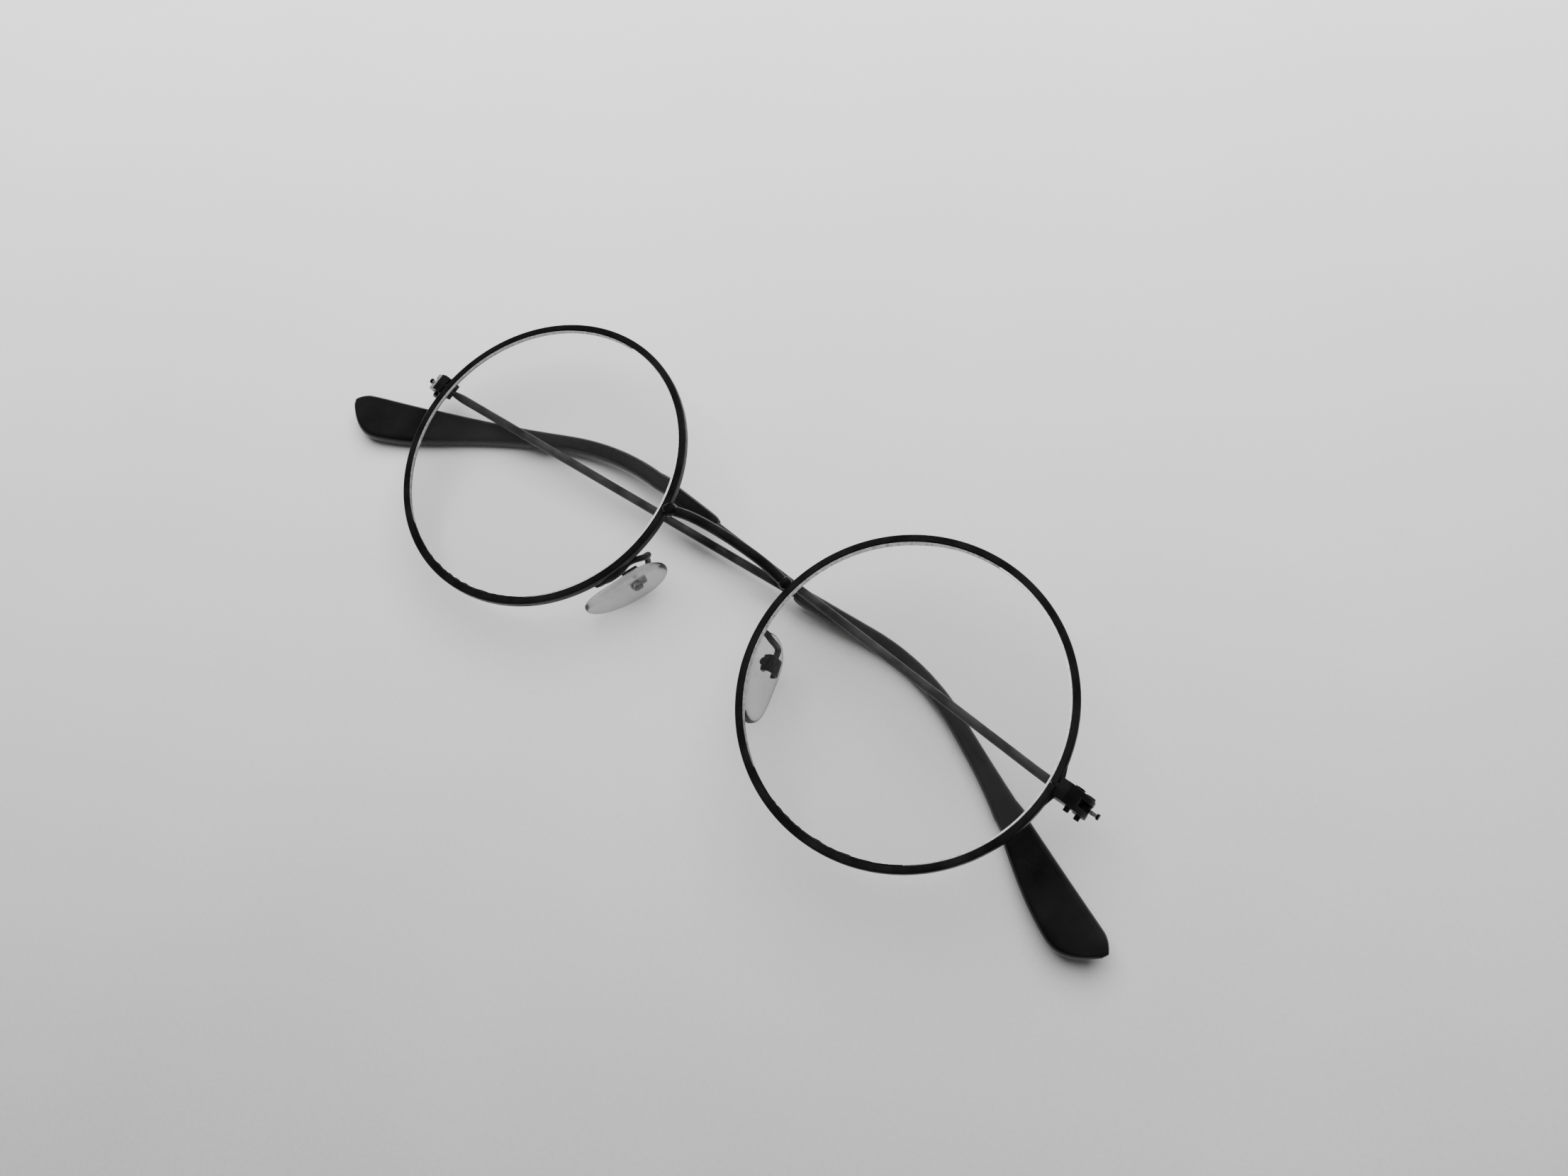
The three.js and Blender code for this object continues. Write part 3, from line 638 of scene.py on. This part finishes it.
def lens(side, sign):
    """A meniscus lens with a ground edge of uneven width, painted with light and shade around it.
    """
    rng = random.Random(LENS_SEEDS[side])
    edge = RIM_INNER_R - LENS_GAP
    middle = -RIM_DEPTH / 2

    def dome(radius, curve, height):
        """Height of a lens face that is at height where it meets the edge."""
        return height + math.sqrt(curve ** 2 - radius ** 2) - math.sqrt(curve ** 2 - edge ** 2)

    drift = 0.0
    rings = []
    lit_and_shaded_steps = []
    for k in range(LENS_STEPS):
        angle = 2 * math.pi * k / LENS_STEPS
        turned = math.degrees(angle if sign > 0 else math.pi - angle) % 360
        uneven = max(0.0, 1 - ((turned - UNEVEN_AT) / UNEVEN_SPREAD) ** 2)
        drift = DRIFT_KEPT * drift + rng.uniform(-1, 1) * DRIFT_STEP
        # Painted light and shade by angle round the lens: dark and grey on the side turned from
        # the light, pale elsewhere.
        if DEEP_SHADE_ANGLES[0] < turned < DEEP_SHADE_ANGLES[1]:
            lit_and_shaded_steps.append(DARK)
        elif HALF_SHADE_ANGLES[0] < turned <= HALF_SHADE_ANGLES[1]:
            lit_and_shaded_steps.append(GREY)
        else:
            lit_and_shaded_steps.append(PALE)
        band = float(np.interp(turned, BAND_ANGLES, BAND_WIDTHS))
        share = DRIFT_EVERYWHERE + (1 - DRIFT_EVERYWHERE) * uneven
        inner = edge - band - UNEVEN_WIDTH * uneven - abs(drift) * share
        front = [(r, dome(r, LENS_FRONT_R, middle + LENS_EDGE_HALF))
                 for r in (*LENS_RINGS, inner)]
        back = [(r, dome(r, LENS_BACK_R, middle - LENS_EDGE_HALF))
                for r in (edge - BACK_BAND, *reversed(LENS_RINGS))]
        profile = front + [
            (edge, front[-1][1] - LENS_RIM_LIP),
            (edge, middle + GROOVE_HALF - LENS_GAP),
            (edge + GROOVE_DEPTH - LENS_GAP, middle),
            (edge, middle - GROOVE_HALF + LENS_GAP),
            (edge, back[0][1] + LENS_RIM_LIP),
        ] + back
        rings.append([wrapped(p, angle) for p in profile])
    sides = len(rings[0])
    ground = range(len(LENS_RINGS), sides - len(LENS_RINGS) - 1)
    verts = [p for ring in rings for p in ring]
    faces = []
    looks = []
    for k in range(LENS_STEPS):
        here = k * sides
        there = ((k + 1) % LENS_STEPS) * sides
        for i in range(sides - 1):
            faces.append((here + i, there + i, there + i + 1, here + i + 1))
            looks.append(lit_and_shaded_steps[k] if i in ground else CLEAR)
    for ring_end, curve, height in (
        (0, LENS_FRONT_R, LENS_EDGE_HALF),
        (sides - 1, LENS_BACK_R, -LENS_EDGE_HALF),
    ):
        centre = len(verts)
        verts.append(wrapped((0, dome(0, curve, middle + height)), 0))
        for k in range(LENS_STEPS):
            after = (k + 1) % LENS_STEPS
            faces.append((k * sides + ring_end, after * sides + ring_end, centre))
            looks.append(CLEAR)
    piece = build(f"{side}_lens_glass", verts, faces, "front",
                  [lens_glass, edge_painted_lit, edge_painted_half_shade, edge_painted_deep_shade],
                  mirror=sign < 0, replace=[f"{side}_lens"])
    for polygon, look in zip(piece.data.polygons, looks):
        polygon.material_index = look


# ---------- bridge, solder and pad arms ----------

def solder(name, path, radii, look=None):
    """A bead of solder under the enamel, drawn along a short path."""
    along = np.linspace(0, 1, SOLDER_STEPS + 1)
    swell = np.interp(along, np.linspace(0, 1, len(radii)), radii)
    verts, faces = loft(tube_rings(centripetal(path, SOLDER_STEPS), swell, SOLDER_SIDES))
    build(name, verts, faces, "front", [look or black], sharp=60 * DEG)


def bridge():
    """One arched bar from rim to rim, with solder at both ends."""
    shoulder = (BRIDGE_END + BRIDGE_TOP) / 2 + SHOULDER_LIFT
    shoulder.x = BRIDGE_END.x * SHOULDER_SHARE
    bends = [BRIDGE_END * MIRROR, shoulder * MIRROR, BRIDGE_TOP, shoulder, BRIDGE_END]
    path = centripetal(bends, BRIDGE_STEPS)
    verts, faces = loft(tube_rings(path, [BRIDGE_R] * len(path), sides=32))
    build("bridge_wire", verts, faces, "front", [black], replace=["bridge"])
    solder("left_bridge_solder", *BRIDGE_SOLDER["left"], solder_black)
    solder("right_bridge_solder", *BRIDGE_SOLDER["right"])


def endpiece_solder(side, info):
    """Beads where the endpiece strip meets the outside of the rim."""
    sign = Vector((info["sign"], 1, 1))
    for name, angles in ENDPIECE_BEADS.items():
        path = [wrapped((RIM_OUTER_R + BEAD_RISE, BEAD_Z), angle * DEG) * sign
                for angle in angles]
        solder(f"{side}_endpiece_solder_{name}", path, BEAD_RADII)
    seam = [wrapped((radius, SEAM_Z), SEAM_ANGLE) * sign for radius in SEAM_AT]
    solder(f"{side}_endpiece_solder_middle", seam, SEAM_RADII)


def pad_frame(info):
    """The frame of a right-hand pad: u down its length, n towards the nose, w to the back."""
    splay = info["splay"]
    back = Vector((math.sin(splay), 0, -math.cos(splay)))
    down = Vector((math.sin(PAD_LEAN), -math.cos(PAD_LEAN), 0))
    down = (down - back * down.dot(back)).normalized()
    nose = back.cross(down)
    place = Matrix((down, nose, back)).transposed().to_4x4()
    place.translation = info["pad_at"]
    return place


def pad_arm(side, info):
    """A thin wire: a foot along the back of the rim, one loop, and down to the pad box."""
    foot_z = -RIM_DEPTH - ARM_R - ARM_FOOT_GAP
    foot = [wrapped((ARM_FOOT_R, foot_z), angle * DEG) for angle in ARM_FOOT_ANGLES]
    top = PAD_BOX_U - PAD_BOX_LENGTH / 2 - ARM_BOX_GAP
    landing = [pad_frame(info) @ Vector((u, PAD_BOX_N - ARM_BOX_DROP, 0))
               for u in (top - ARM_LANDING, top)]
    path = centripetal([*foot, *ARM_LOOP, *landing], ARM_STEPS)
    radii = []
    for k in range(ARM_STEPS + 1):
        full = math.sqrt(min(1.0, k / ARM_TAPER_STEPS))
        radii.append(ARM_R * (ARM_TAPER + (1 - ARM_TAPER) * full))
    verts, faces = loft(tube_rings(path, radii, sides=24))
    build(f"{side}_pad_arm_wire", verts, faces, "front", [wire_black],
          mirror=info["sign"] < 0, replace=[f"{side}_pad_arm"])
    sign = Vector((info["sign"], 1, 1))
    start = foot[0].lerp(foot[1], FOOT_BEAD_INSET)
    seam = [(spot + FOOT_BEAD_AWAY) * sign for spot in (start, foot[1], foot[2])]
    solder(f"{side}_pad_arm_solder", seam, FOOT_BEAD_RADII, wire_black)


def pad_box(side, info):
    """The channel that holds the pad's lobe: a bent strip with rounded corners and edges."""
    cheek = (PAD_BOX_WIDTH - PAD_BOX_WALL) / 2
    floor_n = PAD_BOX_WALL / 2 - PAD_BOX_BELOW + PAD_BOX_BEND
    rings = []
    for along, inset in PAD_BOX_ENDS:
        half_wall = PAD_BOX_WALL / 2 - inset
        crest = PAD_BOX_CREST * half_wall
        lip = PAD_BOX_ABOVE - inset - crest
        # Half of the strip's middle line, each point with the direction to its outside.
        half = [(lip, cheek, 0.0, 1.0)]
        for k in range(PAD_BOX_BEND_STEPS + 1):
            turn = math.pi / 2 * k / PAD_BOX_BEND_STEPS
            c, s = math.cos(turn), math.sin(turn)
            half.append((floor_n - PAD_BOX_BEND * s, cheek - PAD_BOX_BEND * (1 - c), -s, c))
        line = half + [(n, -w, out_n, -out_w) for n, w, out_n, out_w in reversed(half)]
        outer = [(n + out_n * half_wall, w + out_w * half_wall) for n, w, out_n, out_w in line]
        inner = [(n - out_n * half_wall, w - out_w * half_wall) for n, w, out_n, out_w in line]
        outline = [*outer, (lip + crest, -cheek), *reversed(inner), (lip + crest, cheek)]
        u = PAD_BOX_U + along * PAD_BOX_LENGTH
        rings.append([Vector((u, PAD_BOX_N + n, w)) for n, w in outline])
    verts, faces = loft(rings)
    place = pad_frame(info)
    build(f"{side}_pad_box_channel", [place @ v for v in verts], faces, "front",
          [dark_metal], mirror=info["sign"] < 0, sharp=50 * DEG, replace=[f"{side}_pad_box"])


# ---------- nose pads ----------

def nose_pad(side, info):
    """A clear drop-shaped pad, crowned towards the nose, with a stem and a lobe in the box."""
    rings = []
    for k in range(PAD_RINGS):
        t = -math.cos(math.pi * k / (PAD_RINGS - 1))
        power, root = PAD_LOWER_END if t > 0 else PAD_UPPER_END
        full = (1 - abs(t) ** power) ** root
        half = max(PAD_END_HALF, PAD_HALF_WIDTH * full * (1 - PAD_NARROWING * t))
        thick = max(PAD_END_THICK, (PAD_THICKNESS / 2) * full ** PAD_THINNING)
        crown = PAD_CROWN * (1 - t * t) - PAD_SINK
        ring = []
        for i in range(PAD_SIDES):
            angle = 2 * math.pi * i / PAD_SIDES
            across, through = (math.copysign(abs(v) ** PAD_SQUARENESS, v)
                               for v in (math.cos(angle), math.sin(angle)))
            w = half * across
            bow = crown - PAD_DISH * (w / PAD_HALF_WIDTH) ** 2
            ring.append(Vector((PAD_HALF_LENGTH * t, thick * through + bow, w)))
        rings.append(ring)
    verts, faces = loft(rings)
    lobe = [Vector((PAD_BOX_U, PAD_BOX_N, w))
            for w in np.linspace(-PAD_LOBE_HALF, PAD_LOBE_HALF, len(PAD_LOBE_SWELL)).tolist()]
    lobe_radii = [PAD_LOBE_R * share for share in PAD_LOBE_SWELL]
    stem = [Vector((PAD_BOX_U, n, 0))
            for n in np.linspace(PAD_STEM_FROM, PAD_STEM_TO, len(PAD_STEM_R)).tolist()]
    for path, radii in ((lobe, lobe_radii), (stem, PAD_STEM_R)):
        more, skins = loft(tube_rings(path, radii, sides=28))
        offset = len(verts)
        verts = verts + more
        faces = faces + [tuple(i + offset for i in face) for face in skins]
    place = pad_frame(info)
    build(f"{side}_pad_clear", [place @ v for v in verts], faces, f"{side}_nose_pad_body",
          [pad_lit_and_shaded_looks[side]], mirror=info["sign"] < 0, sharp=70 * DEG,
          replace=[f"{side}_nose_pad"])


# ---------- temples ----------

def ramp(value, low, high):
    return min(max((value - low) / (high - low), 0.0), 1.0)


def smoothstep(value, low, high):
    t = ramp(value, low, high)
    return t * t * (3 - 2 * t)


def temple_direction(length, bend):
    """Which way a temple runs at a length along it: straight, then down and inwards."""
    drop = bend * ramp(length, BEND_START, BEND_END)
    curl = CURL_ANGLE * ramp(length, BEND_START, TEMPLE_LENGTH)
    level = math.cos(drop)
    return Vector((level * math.cos(curl), -math.sin(drop), level * math.sin(curl)))


def temple_point(length, bend):
    """Where a temple's middle line is at a length along it, summed in small steps."""
    step = 0.25
    point = Vector((min(length, BEND_START), 0, 0))
    at = BEND_START
    while at < length:
        stride = min(step, length - at)
        point += temple_direction(at + stride / 2, bend) * stride
        at += step
    return point


def sleeve_section(at):
    """Top, bottom, thickness and edge radius of the sleeve at a length along the temple."""
    start = SLEEVE_HALF - MOUTH_LIP * math.exp((SLEEVE_START - at) / MOUTH_FADE)
    spread = ramp(at, TOP_FLARE_START, NOSE_START)
    nose = max(0.0, at - NOSE_START) / (TEMPLE_LENGTH - NOSE_START)
    rise = max(0.0, at - BELLY_AT) / (TEMPLE_LENGTH - BELLY_AT)
    top = start + (PADDLE_TOP - SLEEVE_HALF) * spread ** 1.5 - NOSE_DROP * nose ** 2
    belly = (PADDLE_BELLY - SLEEVE_HALF) * smoothstep(at, BELLY_START, BELLY_AT) ** 1.5
    bottom = NOSE_RISE * rise ** 4 - start - belly
    closing = max(0.0, at - END_TAPER_START) / (TEMPLE_LENGTH + END_OPEN - END_TAPER_START)
    thicken = smoothstep(at, THICKEN_START, THICKEN_END)
    full = SLEEVE_THICKNESS + (PADDLE_THICKNESS - SLEEVE_THICKNESS) * thicken
    thickness = full * (start / SLEEVE_HALF) * math.sqrt(1 - closing ** 2)
    edge = SLEEVE_EDGE + (PADDLE_EDGE - SLEEVE_EDGE) * smoothstep(at, FLATTEN_START, FLATTEN_END)
    return top, bottom, thickness, min(edge, EDGE_SHARE * thickness, EDGE_SHARE * (top - bottom))


def sleeve_ring(at, bend, corner=8):
    """The sleeve's outline at a length along the temple, with corner points to a corner."""
    top, bottom, thickness, edge = sleeve_section(at)
    forward = temple_direction(at, bend)
    side = (Vector((0, 0, 1)) - forward * forward.z).normalized()
    above = side.cross(forward)
    middle = temple_point(at, bend) + above * (top + bottom) / 2
    half = ((top - bottom) / 2, thickness / 2)
    ring = []
    for i in range(4 * corner):
        angle = 90 * DEG * (i + 0.5) / corner
        reach = [math.copysign(half[axis] - edge, d) + d * edge
                 for axis, d in enumerate((math.cos(angle), math.sin(angle)))]
        ring.append(middle + above * reach[0] + side * reach[1])
    return ring


def temple(side, info):
    """The plastic sleeve and the wire of a temple, in their folded place."""
    place = (Matrix.Translation((-HINGE_X, BAR_MID, HINGE_Z))
             @ Matrix.Rotation(info["fold"], 4, "Y") @ Matrix.Rotation(info["rise"], 4, "Z"))
    mirror = info["sign"] > 0
    body = f"{side}_temple"

    stations = [*SLEEVE_MOUTH, BEND_START, *np.arange(SLEEVE_MIDDLE_FROM, BELLY_AT, 1.0).tolist()]
    for k in range(SLEEVE_END_RINGS + 1):
        share = math.sin(math.pi / 2 * k / SLEEVE_END_RINGS)
        stations.append(BELLY_AT + (TEMPLE_LENGTH - BELLY_AT) * share)
    verts, faces = loft([sleeve_ring(at, info["bend"]) for at in stations])
    build(f"{side}_temple_sleeve", [place @ v for v in verts], faces, body,
          [plastic], mirror=mirror, sharp=50 * DEG, replace=[f"{side}_temple_tip"])

    lengths = [WIRE_START + along for along, _ in WIRE_TAPER]
    radii = [radius for _, radius in WIRE_TAPER]
    straight = np.linspace(WIRE_FULL_FROM, WIRE_END, WIRE_RINGS).tolist()
    path = [Vector((at, 0, 0)) for at in lengths + straight]
    radii += [WIRE_R] * WIRE_RINGS
    verts, faces = loft(tube_rings(path, radii, sides=32))
    build(f"{side}_temple_rod", [place @ v for v in verts], faces, body,
          [wire_black], mirror=mirror, replace=[f"{side}_temple_wire"])


# ---------- all the pieces ----------

ENAMELLED_BEVELS = {"endpiece": 0.09, "rim_lock_lower": 0.08, "rim_lock_upper": 0.08,
                    "hinge_lobe_lower": 0.07, "hinge_lobe_upper": 0.07}
SCREWS = ("rim_lock_screw", "hinge_screw", "pad_screw")
SCREW_BEVEL = 0.05
TEMPLE_BEVEL = 0.06


def stop_pin(side, hinge):
    """The stop pin: its neck is painted bright, a painted highlight, and its head is dark."""
    pin = polished(f"{side}_stop_pin", f"{side}_temple", painted_highlight_metal,
                   TEMPLE_BEVEL)
    pin.data.materials.append(dark_metal)
    for polygon in pin.data.polygons:
        # Faces nearer the hinge than the head take the bright metal as a painted highlight; the
        # head stays dark.
        in_head = (polygon.center - hinge).length > PIN_HEAD_FROM * MM
        polygon.material_index = int(in_head)


for side, info in SIDES.items():
    rim(side, info["sign"])
    lens(side, info["sign"])
    pad_arm(side, info)
    pad_box(side, info)
    nose_pad(side, info)
    temple(side, info)
    for part, bevel in ENAMELLED_BEVELS.items():
        polished(f"{side}_{part}", "front", black, bevel)
    for part in SCREWS:
        polished(f"{side}_{part}", "front", dark_metal, SCREW_BEVEL)
    polished(f"{side}_temple_knuckle", f"{side}_temple", black, TEMPLE_BEVEL)
    stop_pin(side, left_hinge if side == "left" else right_hinge)
    endpiece_solder(side, info)
bridge()


# ---------- floor, light and camera ----------

FLOOR_HALF = 1.6


def floor(towards_light):
    """A flat sheet of paper, in metres."""
    bm = bmesh.new()
    bmesh.ops.create_grid(bm, x_segments=8, y_segments=8, size=FLOOR_HALF)
    mesh = bpy.data.meshes.new("paper_floor")
    bm.to_mesh(mesh)
    bm.free()
    mesh.materials.append(paper(towards_light))
    piece = bpy.data.objects.new("paper_floor", mesh)
    bpy.context.scene.collection.objects.link(piece)


# How the camera stands in the front frame: image right, image down and forward.
CAMERA_RIGHT = Vector((0.77078, 0.58403, -0.25458))
CAMERA_DOWN = Vector((0.49862, -0.80172, -0.32958))
CAMERA_FORWARD = Vector((-0.39659, 0.1271, -0.90916))
CAMERA_AT = Vector((93.72, -22.76, 188.57))
SENSOR_MM = 36
CAMERA_LENS_MM = 33.8517

camera_turn = FRONT_TURN @ Matrix((CAMERA_RIGHT, -CAMERA_DOWN, -CAMERA_FORWARD)).transposed()
camera_data = bpy.data.cameras.new("camera")
camera_data.sensor_width = SENSOR_MM
camera_data.sensor_fit = "HORIZONTAL"
camera_data.lens = CAMERA_LENS_MM
camera_data.clip_start = 0.01
camera = bpy.data.objects.new("camera", camera_data)
camera.matrix_world = Matrix.Translation(FRONT @ CAMERA_AT) @ camera_turn.to_4x4()
bpy.context.scene.collection.objects.link(camera)
bpy.context.scene.camera = camera

# The directions on the floor that look like up and right from the camera.
flat_up = Vector((camera_turn.col[1].x, camera_turn.col[1].y, 0)).normalized()
flat_right = Vector((flat_up.y, -flat_up.x, 0))
floor(flat_up)


def lamp(name, right, above, height, size, power):
    """A round lamp aimed at the origin, seen neither in reflections nor through the lenses."""
    data = bpy.data.lights.new(name, "AREA")
    data.shape = "DISK"
    data.size = size
    data.energy = power
    item = bpy.data.objects.new(name, data)
    item.location = flat_right * right + flat_up * above + Vector((0, 0, height))
    item.rotation_euler = (-item.location).to_track_quat("-Z", "Y").to_euler()
    item.visible_glossy = False
    item.visible_transmission = False
    bpy.context.scene.collection.objects.link(item)


def room(horizon, ceiling, window, towards):
    """A dim room: one strength at the horizon, one overhead, and a broad window."""
    world = bpy.data.worlds.new("room")
    world.use_nodes = True
    tree = world.node_tree
    look = tree.nodes.new("ShaderNodeTexCoord").outputs["Generated"]
    glows = []
    # Each glow grows between two cosines of the angle from its direction.
    for direction, low, high, start, end in (
        (Vector((0, 0, 1)), 0.05, 0.85, horizon, ceiling),
        (towards.normalized(), 0.8, 0.95, 0.0, window),
    ):
        facing = tree.nodes.new("ShaderNodeVectorMath")
        facing.operation = "DOT_PRODUCT"
        facing.inputs[1].default_value = direction
        glow = tree.nodes.new("ShaderNodeMapRange")
        glow.interpolation_type = "SMOOTHSTEP"
        set_range(glow, low, high, start, end)
        tree.links.new(look, facing.inputs[0])
        tree.links.new(facing.outputs["Value"], glow.inputs["Value"])
        glows.append(glow.outputs["Result"])
    total = tree.nodes.new("ShaderNodeMath")
    for glow, socket in zip(glows, total.inputs):
        tree.links.new(glow, socket)
    tree.links.new(total.outputs[0], tree.nodes["Background"].inputs["Strength"])
    tree.nodes["Background"].inputs["Color"].default_value = (1, 1, 1, 1)
    bpy.context.scene.world = world


lamp("key", right=0.04, above=0.28, height=0.62, size=0.9, power=13.9)
room(horizon=0.06, ceiling=0.22, window=0.35,
     towards=flat_right * 0.6 + flat_up * 0.7 + Vector((0, 0, 0.5)))
